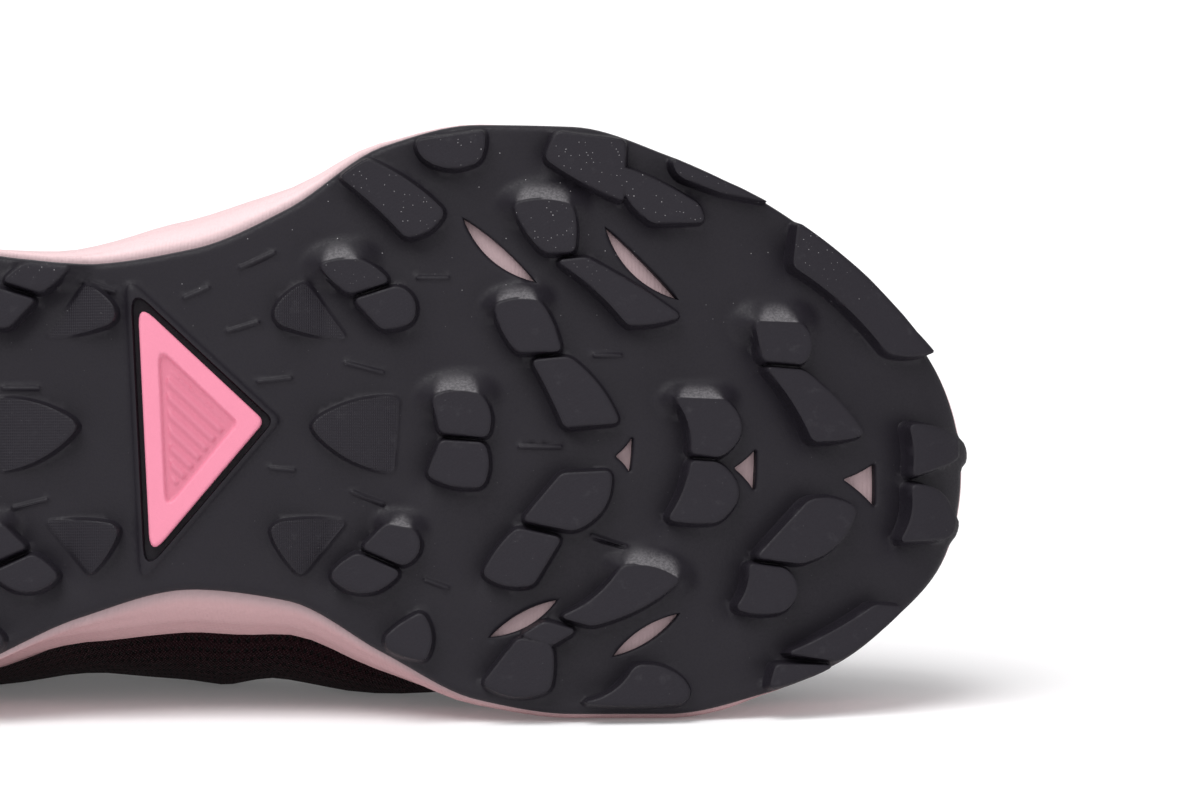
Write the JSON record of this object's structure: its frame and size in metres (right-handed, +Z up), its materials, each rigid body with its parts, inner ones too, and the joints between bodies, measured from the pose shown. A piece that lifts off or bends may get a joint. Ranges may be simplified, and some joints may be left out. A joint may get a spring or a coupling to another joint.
{
  "type": "trail running shoe",
  "caption": "Low trail running shoe for a right foot, lying on its side: lugged rubber outsole, cupped foam midsole, hollow laced upper, padded collar and tongue.",
  "frame": {"origin": "bottom centre of the box around the shoe as it lies on its medial side", "axes": "+X towards the toe, +Y from the sole towards the instep, +Z up from the floor, towards the lateral side"},
  "size_m": [0.286, 0.1346, 0.1071],
  "materials": {
    "black_rubber": "matte",
    "pink_rubber": "satin",
    "pale_foam": "matte",
    "dark_mesh": "matte",
    "black_film": "satin",
    "lining": "matte",
    "webbing": "matte"
  },
  "bodies": {
    "root": {"outsole": "black_rubber", "outsole_insert": "pink_rubber", "midsole": "pale_foam", "insole": "lining", "upper": "dark_mesh", "heel_counter": "black_film", "toe_cap": "black_film", "eyestay": "black_film", "collar_padding": "lining", "tongue": "lining", "laces": "webbing", "pull_tab": "webbing"}
  },
  "joints": []
}
